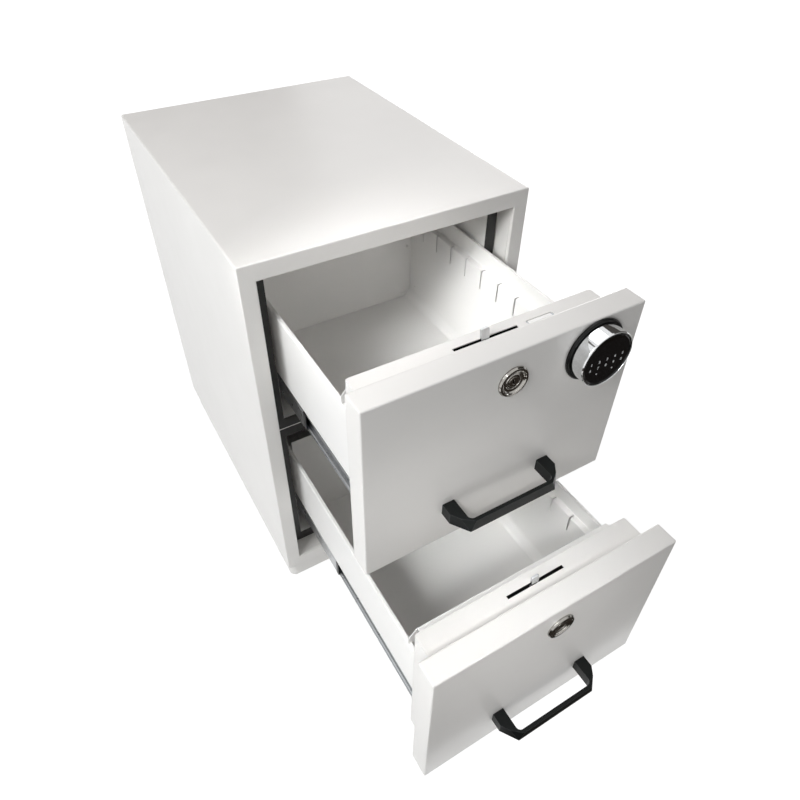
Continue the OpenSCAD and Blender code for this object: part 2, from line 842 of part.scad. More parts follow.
outer_shell();
back_panel();
front_jamb();
insulation_jacket();
divider_core();
bay_liner(upper);  // upper_bay_liner
bay_liner(lower);  // lower_bay_liner
bay_seal(upper);  // upper_bay_seal
bay_seal(lower);  // lower_bay_seal
plinth();
keeper(upper);  // upper_keeper
keeper(lower);  // lower_keeper
slide_rails(upper);  // upper_slide_rails
slide_rails(lower);  // lower_slide_rails
outer_slides(upper);  // upper_outer_slides
outer_slides(lower);  // lower_outer_slides
middle_slides(upper);  // upper_middle_slides
middle_slides(lower);  // lower_middle_slides
slide_buffers(upper);  // upper_slide_buffers
slide_buffers(lower);  // lower_slide_buffers
inner_slides(upper);  // upper_inner_slides
inner_slides(lower);  // lower_inner_slides
front_shell(upper);  // upper_front_shell
inner_block(upper);  // upper_inner_block
front_core(upper);  // upper_front_core
lock_box(upper);  // upper_lock_box
tray(upper);  // upper_tray
tray_back(upper);  // upper_tray_back
tray_front(upper);  // upper_tray_front
handle(upper);  // upper_handle
handle_bolts(upper);  // upper_handle_bolts
key_bezel(upper);  // upper_key_bezel
lock_barrel(upper);  // upper_lock_barrel
key_plug(upper);  // upper_key_plug
lock_spindle(upper);  // upper_lock_spindle
latch_arm(upper);  // upper_latch_arm
front_shell(lower);  // lower_front_shell
inner_block(lower);  // lower_inner_block
front_core(lower);  // lower_front_core
lock_box(lower);  // lower_lock_box
tray(lower);  // lower_tray
tray_back(lower);  // lower_tray_back
tray_front(lower);  // lower_tray_front
handle(lower);  // lower_handle
handle_bolts(lower);  // lower_handle_bolts
key_bezel(lower);  // lower_key_bezel
lock_barrel(lower);  // lower_lock_barrel
key_plug(lower);  // lower_key_plug
lock_spindle(lower);  // lower_lock_spindle
latch_arm(lower);  // lower_latch_arm
keypad_gasket();
keypad_housing();
keypad_face();
keypad_board();
keypad_battery();
keypad_spindle();
electronic_lock_case();
electronic_lock_bolt();
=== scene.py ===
"""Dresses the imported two-drawer data cabinet: fine shapes, finishes, studio and camera."""
import json
import math
from types import SimpleNamespace

import bmesh
import bpy
from mathutils import Matrix, Vector

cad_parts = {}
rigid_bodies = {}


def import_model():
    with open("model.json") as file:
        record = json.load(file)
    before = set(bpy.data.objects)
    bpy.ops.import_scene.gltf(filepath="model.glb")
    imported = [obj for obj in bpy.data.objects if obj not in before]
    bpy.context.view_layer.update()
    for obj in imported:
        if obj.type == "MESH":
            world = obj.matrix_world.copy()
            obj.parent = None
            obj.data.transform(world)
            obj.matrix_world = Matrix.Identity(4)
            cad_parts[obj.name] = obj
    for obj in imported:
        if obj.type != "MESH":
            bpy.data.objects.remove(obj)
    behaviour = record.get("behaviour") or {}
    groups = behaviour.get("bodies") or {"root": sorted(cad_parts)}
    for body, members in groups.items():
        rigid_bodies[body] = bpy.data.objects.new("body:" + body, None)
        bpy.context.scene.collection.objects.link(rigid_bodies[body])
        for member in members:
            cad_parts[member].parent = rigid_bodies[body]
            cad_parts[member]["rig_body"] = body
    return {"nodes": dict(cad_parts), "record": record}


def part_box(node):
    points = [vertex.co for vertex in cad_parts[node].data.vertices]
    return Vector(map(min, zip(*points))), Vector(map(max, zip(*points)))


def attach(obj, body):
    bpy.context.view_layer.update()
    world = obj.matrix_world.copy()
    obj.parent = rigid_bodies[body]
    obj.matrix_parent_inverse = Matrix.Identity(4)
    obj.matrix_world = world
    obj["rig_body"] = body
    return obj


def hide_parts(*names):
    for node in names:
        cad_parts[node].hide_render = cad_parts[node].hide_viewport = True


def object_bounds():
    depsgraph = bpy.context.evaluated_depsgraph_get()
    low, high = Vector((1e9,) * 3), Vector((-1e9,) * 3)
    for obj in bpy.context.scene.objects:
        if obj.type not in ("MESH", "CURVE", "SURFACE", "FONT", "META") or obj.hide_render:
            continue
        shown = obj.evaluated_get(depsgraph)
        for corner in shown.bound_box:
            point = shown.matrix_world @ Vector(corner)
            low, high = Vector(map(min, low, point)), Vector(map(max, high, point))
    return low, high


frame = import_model()
nodes = frame["nodes"]
cad_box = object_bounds()

# Named sizes are in millimetres, and mesh coordinates in metres.
# The end of a name says what it is: _R a radius, _T a thickness, _W a width, _H a height.
MM = 0.001
X, Y, Z = 0, 1, 2
SIDES = ("upper", "lower")
SHEET_T = 1.2
CUT_EDGE_R = 0.35


# Materials

WHITE = (0.83, 0.812, 0.785)
# A lighter copy of the outer white: painted light, which brightens what lies in shade inside the
# cabinet and the drawers
INNER_WHITE = (0.93, 0.918, 0.897)
RAMP_SPAN = (0.3, 0.7)  # the values that stand for a ramp's two ends


class Tree:
    """The node tree of a material or world, with short calls to add and join nodes."""

    def __init__(self, owner):
        owner.use_nodes = True
        self.owner = owner
        self.nodes = owner.node_tree.nodes
        self.links = owner.node_tree.links

    def add(self, kind, inputs=None, **settings):
        """Adds a node, with values for its inputs and for its settings."""
        node = self.nodes.new(kind)
        for key, value in settings.items():
            setattr(node, key, value)
        for socket, value in (inputs or {}).items():
            node.inputs[socket].default_value = value
        return node

    def join(self, output, socket):
        self.links.new(output, socket)

    def backdrop_rays(self):
        """1 for camera, glossy and transmission rays, and 0 for those that carry light."""
        rays = self.add("ShaderNodeLightPath")
        seen = rays.outputs["Is Camera Ray"]
        for kind in ("Is Glossy Ray", "Is Transmission Ray"):
            either = self.add("ShaderNodeMath", operation="MAXIMUM")
            self.join(seen, either.inputs[0])
            self.join(rays.outputs[kind], either.inputs[1])
            seen = either.outputs[0]
        return seen

    def surface(self, output_name, share, first, second):
        """Shows the second shader by a share from 0 to 1, and the first by the rest."""
        mix = self.add("ShaderNodeMixShader")
        self.join(share, mix.inputs["Fac"])
        self.join(first, mix.inputs[1])
        self.join(second, mix.inputs[2])
        self.join(mix.outputs["Shader"], self.nodes[output_name].inputs["Surface"])


class Finish(Tree):
    """A material whose shader inputs follow procedural patterns."""

    def __init__(self, name):
        super().__init__(bpy.data.materials.new(name))
        self.shader = self.nodes["Principled BSDF"]
        self.coords = self.add("ShaderNodeTexCoord").outputs["Object"]

    def fix(self, socket, value):
        """Sets a shader input that is the same all over."""
        self.shader.inputs[socket].default_value = value

    def noise(self, scale, detail=2.0, stretch=(1, 1, 1)):
        mapping = self.add("ShaderNodeMapping", {"Scale": stretch})
        self.join(self.coords, mapping.inputs["Vector"])
        noise = self.add("ShaderNodeTexNoise", {"Scale": scale, "Detail": detail})
        self.join(mapping.outputs["Vector"], noise.inputs["Vector"])
        return noise.outputs["Fac"]

    def vary(self, socket, value, low, high):
        """Lets a 0 to 1 value move a shader input from one grey or colour to another."""
        ramp = self.add("ShaderNodeValToRGB")
        for element, at, colour in zip(ramp.color_ramp.elements, RAMP_SPAN, (low, high)):
            element.position = at
            element.color = colour if isinstance(colour, tuple) else (colour, colour, colour, 1)
        self.join(value, ramp.inputs["Fac"])
        self.join(ramp.outputs["Color"], self.shader.inputs[socket])

    def bump(self, *layers):
        """Stacks bump layers, each a height with its strength and its depth in millimetres."""
        normal = None
        for height, strength, depth in layers:
            bump = self.add("ShaderNodeBump", {"Strength": strength, "Distance": depth * MM})
            self.join(height, bump.inputs["Height"])
            if normal is not None:
                self.join(normal, bump.inputs["Normal"])
            normal = bump.outputs["Normal"]
        self.join(normal, self.shader.inputs["Normal"])


def shade(colour, factor):
    return tuple(channel * factor for channel in colour) + (1.0,)


def paint(name, colour, roughness, coat=0.0):
    """Powder coat: faint blotches, orange peel and slightly uneven gloss."""
    finish = Finish(name)
    blotches = finish.noise(scale=4.0, detail=3.0)
    finish.vary("Base Color", blotches, shade(colour, 0.975), shade(colour, 1.01))
    finish.vary("Roughness", finish.noise(scale=22.0), roughness - 0.03, roughness + 0.04)
    finish.fix("Coat Weight", coat)
    finish.fix("Coat Roughness", 0.16)
    orange_peel = finish.noise(scale=650.0)
    waves = finish.noise(scale=9.0, detail=1.0)
    finish.bump((orange_peel, 0.25, 0.06), (waves, 0.12, 0.6))
    return finish.owner


def metal(name, colour, roughness, grain=(1, 1, 1), relief=0.1):
    """Plain or brushed metal, with the grain drawn out along the axis whose stretch is least."""
    finish = Finish(name)
    finish.fix("Metallic", 1.0)
    streaks = finish.noise(scale=500.0, detail=3.0, stretch=grain)
    finish.vary("Base Color", streaks, shade(colour, 0.9), shade(colour, 1.04))
    finish.vary("Roughness", finish.noise(scale=60.0), roughness * 0.85, roughness * 1.2)
    finish.bump((streaks, relief, 0.04))
    return finish.owner


def plastic(name, colour, roughness, grain=0.3, lighter=1.15, gloss=0.5):
    """Moulded plastic or rubber with a fine grain."""
    finish = Finish(name)
    clouds = finish.noise(scale=35.0, detail=3.0)
    finish.vary("Base Color", clouds, shade(colour, 0.9), shade(colour, lighter))
    finish.vary("Roughness", clouds, roughness - 0.04, roughness + 0.05)
    finish.fix("Specular IOR Level", gloss)
    finish.bump((finish.noise(scale=900.0, detail=3.0), grain, 0.08))
    return finish.owner


def plaster(name, colour):
    """Cast insulation: matte, with pores and a cloudy colour."""
    finish = Finish(name)
    clouds = finish.noise(scale=30.0, detail=6.0)
    finish.vary("Base Color", clouds, shade(colour, 0.85), shade(colour, 1.05))
    finish.fix("Roughness", 0.9)
    finish.bump((finish.noise(scale=260.0, detail=6.0), 0.5, 0.6))
    return finish.owner


def circuit(name, colour):
    """A circuit board: green lacquer with copper tracks under it."""
    finish = Finish(name)
    tracks = finish.add("ShaderNodeTexBrick", {"Scale": 260.0})
    finish.join(finish.coords, tracks.inputs["Vector"])
    finish.vary("Base Color", tracks.outputs["Fac"], shade(colour, 1.0), shade(colour, 1.8))
    finish.fix("Roughness", 0.35)
    finish.bump((tracks.outputs["Fac"], 0.3, 0.1))
    return finish.owner


looks = {
    "white_steel": paint("white_powder_coat", WHITE, 0.34, coat=0.25),
    # painted light: the liners and trays take the lighter inner white
    "liner_steel": paint("inner_coat_painted_light", INNER_WHITE, 0.38, coat=0.15),
    "insulation": plaster("cast_insulation", (0.72, 0.69, 0.62)),
    "seal_rubber": plastic("seal_rubber", (0.018, 0.018, 0.017), 0.55, grain=0.4),
    "zinc_steel": metal("zinc_plated_steel", (0.56, 0.58, 0.60), 0.32),
    "slide_steel": metal("drawn_slide_steel", (0.46, 0.47, 0.48), 0.3,
                         grain=(1, 0.01, 1), relief=0.01),
    "black_plastic": plastic("buffer_plastic", (0.012, 0.012, 0.012), 0.4),
    "handle_black": plastic("handle_plastic", (0.005, 0.006, 0.006), 0.38,
                            grain=0.18, gloss=0.2),
    # painted highlight: a paler black for the handle bow's rounded edges
    "handle_highlight": plastic("handle_painted_highlight", (0.035, 0.042, 0.042), 0.32,
                           grain=0.1, gloss=0.3),
    # painted shade: black for the lock boxes, standing in for the shade seen down the slots in
    # the head tops
    "dark_steel": metal("slot_shade_black", (0.02, 0.02, 0.02), 0.5),
    "chrome": metal("chrome_plate", (0.80, 0.81, 0.82), 0.06, relief=0.0),
    # painted shade: a darker, warmer copy of the chrome for the key locks, standing in for the
    # dark surroundings they reflect
    "darkened_lock_chrome": metal("darkened_lock_chrome", (0.40, 0.385, 0.36), 0.12, relief=0.0),
    "latch_steel": metal("latch_steel", (0.66, 0.67, 0.68), 0.3, grain=(1, 1, 0.05)),
    "keypad_black": plastic("keypad_gloss", (0.006, 0.006, 0.007), 0.1, grain=0.0),
    "circuit_board": circuit("circuit_board", (0.02, 0.10, 0.04)),
    "battery_case": plastic("battery_case", (0.02, 0.02, 0.02), 0.35),
    # painted light: the bolt also takes the lighter inner white
    "lock_bolt_white": paint("bolt_lacquer", INNER_WHITE, 0.3),
    "digit_white": plastic("digit_ink", (0.75, 0.76, 0.76), 0.4, grain=0.0, lighter=1.0),
    "gasket_rubber": plastic("gasket_rubber", (0.004, 0.004, 0.004), 0.35,
                             grain=0.2, gloss=0.2),
    "window_dark": plastic("window_gloss", (0.002, 0.002, 0.002), 0.05, grain=0.0),
}
slot_of = {row["node"]: row["material_slot"] for row in frame["record"]["subparts"]}


def dress(obj, material):
    if obj.data.materials:
        obj.data.materials.clear()
    obj.data.materials.append(material)


for node_name, node in nodes.items():
    dress(node, looks[slot_of[node_name]])


# Mesh helpers

SAME = 0.02  # coordinates nearer than this are taken as one
MERGE = 0.002  # vertices nearer than this are joined
ON_AXIS = 1e-6
FLAT_DEG = 0.5
CORNER_DEG = 30.0
STRAIGHT_DEG = 178.0
FILLET_SHARE = 0.48  # the most of a side that one fillet takes up
MITRE_LEAST = 0.5  # keeps a folded sheet's sharpest corners from running out to a spike


def mesh_object(bm, name, smooth_deg=CORNER_DEG):
    """Turns a bmesh into an object whose edges are sharp past an angle."""
    bmesh.ops.recalc_face_normals(bm, faces=bm.faces)
    mesh = bpy.data.meshes.new(name)
    bm.to_mesh(mesh)
    bm.free()
    mesh.polygons.foreach_set("use_smooth", [True] * len(mesh.polygons))
    mesh.set_sharp_from_angle(angle=math.radians(smooth_deg))
    obj = bpy.data.objects.new(name, mesh)
    bpy.context.scene.collection.objects.link(obj)
    weighted = obj.modifiers.new("flat_faces", "WEIGHTED_NORMAL")
    weighted.keep_sharp = True
    return obj


def evaluated_mesh(obj):
    """An object's shape as a new mesh, with its modifiers applied."""
    bpy.context.view_layer.update()
    graph = bpy.context.evaluated_depsgraph_get()
    return bpy.data.meshes.new_from_object(obj.evaluated_get(graph))


def place(obj, body, slot, look=None, stands_for=()):
    """Gives a piece its finish, its body and the nodes that it stands for."""
    dress(obj, looks[look or slot])
    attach(obj, body)
    if stands_for:
        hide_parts(*stands_for)


def body_name(node_name):
    return nodes[node_name]["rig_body"]


def stand_in(obj, node_name, look=None):
    """Puts a piece in the place of a CAD node, on its body and with its slot."""
    place(obj, body_name(node_name), slot_of[node_name], look, [node_name])


def copy_of(node_name):
    """A CAD node's mesh as a bmesh of plain faces, with what is coplanar merged."""
    bm = bmesh.new()
    bm.from_mesh(nodes[node_name].data)
    bmesh.ops.remove_doubles(bm, verts=bm.verts, dist=MERGE * MM)
    bmesh.ops.dissolve_limit(bm, angle_limit=math.radians(FLAT_DEG),
                             verts=bm.verts, edges=bm.edges)
    bm.normal_update()
    return bm


def near(value, target):
    return abs(value - target) < SAME * MM


def on_plane(edge, axis, value):
    return all(near(v.co[axis], value) for v in edge.verts)


def at_corner(vert, low, high):
    """Whether a vertex is at a corner of the box between two points."""
    return all(near(vert.co[axis], low[axis]) or near(vert.co[axis], high[axis])
               for axis in (X, Y, Z))


def is_corner(edge, least_deg):
    """Whether two faces meet at an edge, and turn there by more than an angle."""
    return len(edge.link_faces) == 2 and edge.calc_face_angle(0.0) > math.radians(least_deg)


def round_edges(bm, radius, pick=None, segments=4, least_deg=CORNER_DEG, material=-1):
    """Rounds the corner edges that pick() chooses, or all of them, by a radius."""
    chosen = [e for e in bm.edges if is_corner(e, least_deg) and (pick is None or pick(e))]
    bmesh.ops.bevel(bm, geom=chosen, offset=radius * MM, segments=segments, profile=0.5,
                    affect="EDGES", clamp_overlap=True, material=material)
    bm.normal_update()


def rounded_copy(node_name, name, radius, pick=None, segments=3, look=None):
    """Replaces a CAD node by a copy of it with rounded edges."""
    bm = copy_of(node_name)
    round_edges(bm, radius, pick, segments)
    stand_in(mesh_object(bm, name), node_name, look)


def filleted(points, radius, segments=5, closed=False):
    """Rounds the corners of a polyline of (a, b) points, by one radius or by a list of them."""
    made = []
    count = len(points)
    radii = radius if isinstance(radius, list) else [radius] * count
    for i, point in enumerate(points):
        here = Vector(point)
        if not closed and i in (0, count - 1):
            made.append(here)
            continue
        back, ahead = Vector(points[i - 1]) - here, Vector(points[(i + 1) % count]) - here
        turn = back.angle(ahead)
        if turn > math.radians(STRAIGHT_DEG):
            made.append(here)
            continue
        reach = min(radii[i] / math.tan(turn / 2),
                    FILLET_SHARE * back.length, FILLET_SHARE * ahead.length)
        arc_r = reach * math.tan(turn / 2)
        a, b = here + back.normalized() * reach, here + ahead.normalized() * reach
        inward = (back.normalized() + ahead.normalized()).normalized()
        centre = here + inward * (arc_r / math.sin(turn / 2))
        start = (a - centre).angle_signed(b - centre) if arc_r > 0 else 0.0
        for step in range(segments + 1):
            spin = Matrix.Rotation(-start * step / segments, 2)
            made.append(centre + spin @ (a - centre))
    return made


def sheet_outline(path, thickness):
    """The closed outline of a folded sheet that follows a centre line."""
    left, right = [], []
    for i, point in enumerate(path):
        before = (point - path[i - 1]).normalized() if i else None
        after = (path[i + 1] - point).normalized() if i + 1 < len(path) else None
        along = ((before or after) + (after or before)).normalized()
        side = Vector((-along.y, along.x))
        stretch = 1.0 / max(MITRE_LEAST, along.dot(before or after))
        left.append(point + side * thickness / 2 * stretch)
        right.append(point - side * thickness / 2 * stretch)
    return left + right[::-1]


def extrude_along_y(outline, y0, y1):
    """A prism of an outline in X and Z, in millimetres, between two places on Y, in metres."""
    bm = bmesh.new()
    rings = [[bm.verts.new((x * MM, y, z * MM)) for x, z in outline] for y in (y0, y1)]
    count = len(outline)
    for i in range(count):
        j = (i + 1) % count
        bm.faces.new((rings[0][i], rings[0][j], rings[1][j], rings[1][i]))
    bm.faces.new(rings[0][::-1])
    bm.faces.new(rings[1])
    return bm


def mirror_x(bm):
    """Adds the mirror image across the middle plane."""
    copied = bmesh.ops.duplicate(bm, geom=bm.verts[:] + bm.edges[:] + bm.faces[:])["geom"]
    verts = [g for g in copied if isinstance(g, bmesh.types.BMVert)]
    faces = [g for g in copied if isinstance(g, bmesh.types.BMFace)]
    bmesh.ops.scale(bm, vec=(-1, 1, 1), verts=verts)
    bmesh.ops.reverse_faces(bm, faces=faces)
    return bm


def add_box(bm, low, high):
    """Adds a box between two corners in metres."""
    low, high = Vector(low), Vector(high)
    grow = Matrix.Translation((low + high) / 2) @ Matrix.Diagonal((*(high - low), 1))
    bmesh.ops.create_cube(bm, size=1.0, matrix=grow)


def add_cylinder(bm, centre, turned_about, radius, depth, segments):
    """Adds a closed cylinder, along X where it is turned about Y, and along Y where about X."""
    turn = Matrix.Rotation(math.pi / 2, 4, turned_about)
    bmesh.ops.create_cone(bm, cap_ends=True, segments=segments, radius1=radius * MM,
                          radius2=radius * MM, depth=depth * MM,
                          matrix=Matrix.Translation(centre) @ turn)


def lathe(profile, centre, steps):
    """Turns a profile of (radius, reach towards the viewer) round a line along Y."""
    bm = bmesh.new()
    angles = [2 * math.pi * k / steps for k in range(steps)]
    rings = []
    for radius, reach in profile:
        y = centre.y - reach * MM
        if radius < ON_AXIS:
            rings.append([bm.verts.new((centre.x, y, centre.z))])
            continue
        rings.append([bm.verts.new((centre.x + radius * MM * math.cos(t), y,
                                    centre.z + radius * MM * math.sin(t))) for t in angles])
    for inner, outer in zip(rings, rings[1:]):
        for k in range(steps):
            n = (k + 1) % steps
            if len(inner) == 1:
                bm.faces.new((inner[0], outer[n], outer[k]))
            elif len(outer) == 1:
                bm.faces.new((inner[k], inner[n], outer[0]))
            else:
                bm.faces.new((inner[k], inner[n], outer[n], outer[k]))
    return bm


def turned(node_name, name, centre, profile, fillet, arc_steps, steps=96, look=None):
    """Replaces a CAD node by a piece turned from a profile whose inner corners are rounded."""
    bm = lathe(filleted(profile, fillet, arc_steps), centre, steps)
    stand_in(mesh_object(bm, name, smooth_deg=40), node_name, look)


def back_centre(node_name):
    """The middle of a node's back face."""
    low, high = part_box(node_name)
    return Vector(((low.x + high.x) / 2, high.y, (low.z + high.z) / 2))


def cut_out(obj, cutter_bm):
    """Takes a bmesh's shape out of a piece."""
    mesh = bpy.data.meshes.new("cutter")
    bmesh.ops.recalc_face_normals(cutter_bm, faces=cutter_bm.faces)
    cutter_bm.to_mesh(mesh)
    cutter_bm.free()
    cutter = bpy.data.objects.new("cutter", mesh)
    bpy.context.scene.collection.objects.link(cutter)
    modifier = obj.modifiers.new("cut", "BOOLEAN")
    modifier.operation = "DIFFERENCE"
    modifier.solver = "EXACT"
    modifier.object = cutter
    others = [m for m in obj.modifiers if m != modifier]
    for other in others:
        other.show_viewport = False
    result = evaluated_mesh(obj)
    obj.modifiers.remove(modifier)
    for other in others:
        other.show_viewport = True
    old = obj.data
    obj.data = result
    result.name = old.name
    bpy.data.meshes.remove(old)
    bpy.data.objects.remove(cutter)
    bpy.data.meshes.remove(mesh)
    obj.data.set_sharp_from_angle(angle=math.radians(CORNER_DEG))


# Cabinet body and seals

BODY_FRONT_R = 2.2
OPENING_R = 2.0
OPENING_RETURN = 7.0  # how much further the folded return runs into the opening
OPENING_LAP = 0.06  # how far it comes in past the jamb's inner face
FRONT_SKIN = 1.0  # what is nearer than this to the front plane counts as the front
RETURN_REACH = 9.0  # the return's faces have their middles nearer than this
OPENING_MARGIN = 5.0  # edges further than this outside the opening are the body's rim
SEAL_R = 0.8


def cabinet_body():
    """The folded body sheet, with rounded folds round its front frame and its opening."""
    bm = copy_of("outer_shell")
    front_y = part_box("outer_shell")[0].y
    skin_y = front_y + FRONT_SKIN * MM
    return_y = front_y + RETURN_REACH * MM
    jamb_low, jamb_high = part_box("front_jamb")
    side_x = jamb_high.x - SHEET_T * MM
    sill_z, head_z = jamb_low.z + SHEET_T * MM, jamb_high.z - SHEET_T * MM
    lap = OPENING_LAP * MM
    for v in bm.verts:
        at_sill, at_head = near(v.co.z, sill_z), near(v.co.z, head_z)
        if near(abs(v.co.x), side_x) and (at_sill or at_head):
            if v.co.y > skin_y:
                v.co.y += OPENING_RETURN * MM
            v.co.x -= math.copysign(lap, v.co.x)
            v.co.z += lap if at_sill else -lap
    slanted = [f for f in bm.faces if skin_y < f.calc_center_median().y < return_y]
    bmesh.ops.triangulate(bm, faces=slanted)
    bm.normal_update()
    margin = OPENING_MARGIN * MM

    def outside(edge):
        middle = (edge.verts[0].co + edge.verts[1].co) / 2
        return (abs(middle.x) > side_x + margin
                or not sill_z - margin < middle.z < head_z + margin)

    round_edges(bm, BODY_FRONT_R, lambda e: on_plane(e, Y, front_y) and outside(e))
    round_edges(bm, OPENING_R, lambda e: on_plane(e, Y, front_y) and not outside(e))
    stand_in(mesh_object(bm, "cabinet_body_sheet", smooth_deg=25), "outer_shell")


cabinet_body()
for side in SIDES:
    rounded_copy(side + "_bay_seal", side + "_seal_strip", SEAL_R)


# Drawer heads

PLATE_R = 2.6
BLOCK_R = 2.0
BLOCK_CORNER_R = 5.0
ROUNDED_SLACK = 0.1  # lets the ends of a rounded corner count as part of it


def head_plate(side):
    """The front plate's shell, with its outer folds rounded."""
    node_name = side + "_front_shell"
    low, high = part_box(node_name)
    rounded_copy(node_name, side + "_head_plate", PLATE_R,
                 lambda e: all(at_corner(v, low, high) for v in e.verts), segments=4)


def head_block(side):
    """The inner block, with a rounder fold down its two back corners."""
    node_name = side + "_inner_block"
    low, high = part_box(node_name)
    bm = copy_of(node_name)

    def upright(edge):
        a, b = edge.verts
        return (at_corner(a, low, high) and at_corner(b, low, high) and on_plane(edge, Y, high.y)
                and near(a.co.x, b.co.x) and not near(a.co.z, b.co.z))

    round_edges(bm, BLOCK_CORNER_R, upright, segments=6)
    rounded_y = high.y - (BLOCK_CORNER_R + ROUNDED_SLACK) * MM

    def rim(edge):
        flat = on_plane(edge, Z, high.z) or on_plane(edge, Z, low.z)
        return flat and all(near(abs(v.co.x), high.x) or v.co.y > rounded_y
                            for v in edge.verts)

    round_edges(bm, BLOCK_R, rim)
    stand_in(mesh_object(bm, side + "_head_block"), node_name)


for side in SIDES:
    head_plate(side)
    head_block(side)


# Trays, as folded sheet

FOLD_R = 1.8
LIP_R = 5.0
LOW_BEND_R = 10.0
HIGH_BEND_R = 20.0
SHEET_EDGE_R = 0.25
FRONT_FOLD_R = 1.1
SLIT_W = 3.0
SLIT_H = 38.0
SLIT_PITCH = 50.5
SLIT_END = 50.0
SLIT_MARGIN = 3.0
SLIT_COUNT = 8
HOLE_R = 2.0
HOLE_END = 20.0
HOLE_ABOVE_FLOOR = 32.0
CUT_PAST = 1.0  # how far a slit's cutter runs past the sheet
HOLE_CUT = 4.0  # how long a hole's cutter is


def tray_sizes(side):
    """A tray's places across and up, in millimetres, read from its CAD mesh."""
    points = [v.co / MM for v in nodes[side + "_tray"].data.vertices]
    half = max(p.x for p in points)
    top = max(p.z for p in points)
    floor = min(p.z for p in points)
    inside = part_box(side + "_tray_back")[1].x / MM
    wall = inside + SHEET_T

    def heights(x):
        return [p.z for p in points if abs(p.x - x) < SAME]

    def widths(z):
        return [p.x for p in points if abs(p.z - z) < SAME and p.x > 0]

    return SimpleNamespace(
        half=half, top=top, floor=floor, inside=inside, wall=wall,
        lip=min(widths(top)), skirt=min(heights(half)), step=max(heights(inside)),
        corner=min(heights(wall)), inside_corner=min(heights(inside)),
        floor_half=max(widths(floor)), inside_floor=max(widths(floor + SHEET_T)))


def tray_outline(m):
    """The tray's section, each point with its fold radius, from the floor round to the floor."""
    t = SHEET_T
    fold, outer, edge = FOLD_R, FOLD_R + t, SHEET_EDGE_R
    right = [
        (m.floor_half, m.floor, LOW_BEND_R + t),
        (m.wall, m.corner, HIGH_BEND_R + t),
        (m.wall, m.step - t, fold),
        (m.half - t, m.step - t, edge),
        (m.half - t, m.skirt, edge),
        (m.half, m.skirt, edge),
        (m.half, m.top, LIP_R),
        (m.lip, m.top, edge),
        (m.lip, m.top - t, edge),
        (m.half - t, m.top - t, LIP_R - t),
        (m.half - t, m.step, fold),
        (m.inside, m.step, outer),
        (m.inside, m.inside_corner, HIGH_BEND_R),
        (m.inside_floor, m.floor + t, LOW_BEND_R),
    ]
    both = right + [(-x, z, r) for x, z, r in right[::-1]]
    return filleted([(x, z) for x, z, r in both], [r for x, z, r in both], closed=True)


def tray_sheet(side):
    """The tray, folded from sheet, with slits for dividers and a hole near each back corner."""
    node_name = side + "_tray"
    low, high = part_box(node_name)
    m = tray_sizes(side)
    bm = extrude_along_y(tray_outline(m), low.y, high.y)
    obj = mesh_object(bm, side + "_tray_sheet", smooth_deg=35)
    cuts = bmesh.new()
    last = high.y - SLIT_END * MM
    slit_x0, slit_x1 = m.inside - CUT_PAST, m.half - SHEET_T - SLIT_MARGIN
    slit_z0, slit_z1 = (m.step - SLIT_H) * MM, (m.step + CUT_PAST) * MM
    for sign in (-1, 1):
        x0, x1 = sorted((sign * slit_x0 * MM, sign * slit_x1 * MM))
        for k in range(SLIT_COUNT):
            y = last - k * SLIT_PITCH * MM
            add_box(cuts, (x0, y - SLIT_W / 2 * MM, slit_z0), (x1, y + SLIT_W / 2 * MM, slit_z1))
        hole = (sign * m.inside * MM, high.y - HOLE_END * MM, (m.floor + HOLE_ABOVE_FLOOR) * MM)
        add_cylinder(cuts, hole, "Y", HOLE_R, HOLE_CUT, segments=32)
    cut_out(obj, cuts)
    stand_in(obj, node_name)


def tray_flanges(side):
    """The narrow flanges that fix the tray to the inner block."""
    node_name = side + "_tray"
    m = tray_sizes(side)
    front_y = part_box(node_name)[0].y
    back_y = front_y + SHEET_T * MM
    inner_x = min(v.co.x for v in nodes[node_name].data.vertices
                  if v.co.x > 0 and near(v.co.y, back_y) and near(v.co.z, m.corner * MM))
    bm = bmesh.new()
    add_box(bm, (inner_x, front_y, m.corner * MM),
            ((m.wall - SHEET_T / 2) * MM, back_y, (m.step - SHEET_T / 2) * MM))
    obj = mesh_object(mirror_x(bm), side + "_tray_flanges")
    place(obj, body_name(node_name), "liner_steel")


def tray_front_sheet(side):
    """The tray's front wall, with a rounded fold to the flange along its top."""
    node_name = side + "_tray_front"
    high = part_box(node_name)[1]
    bm = copy_of(node_name)
    round_edges(bm, FRONT_FOLD_R, lambda e: on_plane(e, Y, high.y) and on_plane(e, Z, high.z))
    round_edges(bm, CUT_EDGE_R, segments=2)
    stand_in(mesh_object(bm, side + "_tray_front_sheet"), node_name)


for side in SIDES:
    tray_sheet(side)
    tray_flanges(side)
    tray_front_sheet(side)
    rounded_copy(side + "_tray_back", side + "_tray_back_sheet", CUT_EDGE_R, segments=2)


# Slides, as rolled sections

SLIDE_T = 1.5
SLIDE_FOLD_R = 2.2
BUFFER_R = 0.5
GROOVE = 1.2
# A ball race's points, each a share of the flange, from the web on, and a share of the groove
RACE = ((0.72, 0), (0.62, 1), (0.42, 1), (0.32, 0))
# Each member of a slide, and whether its channel opens away from the drawer
MEMBERS = (("outer", False), ("middle", False), ("inner", True))


def clamp(value, least, most):
    return min(max(value, least), most)


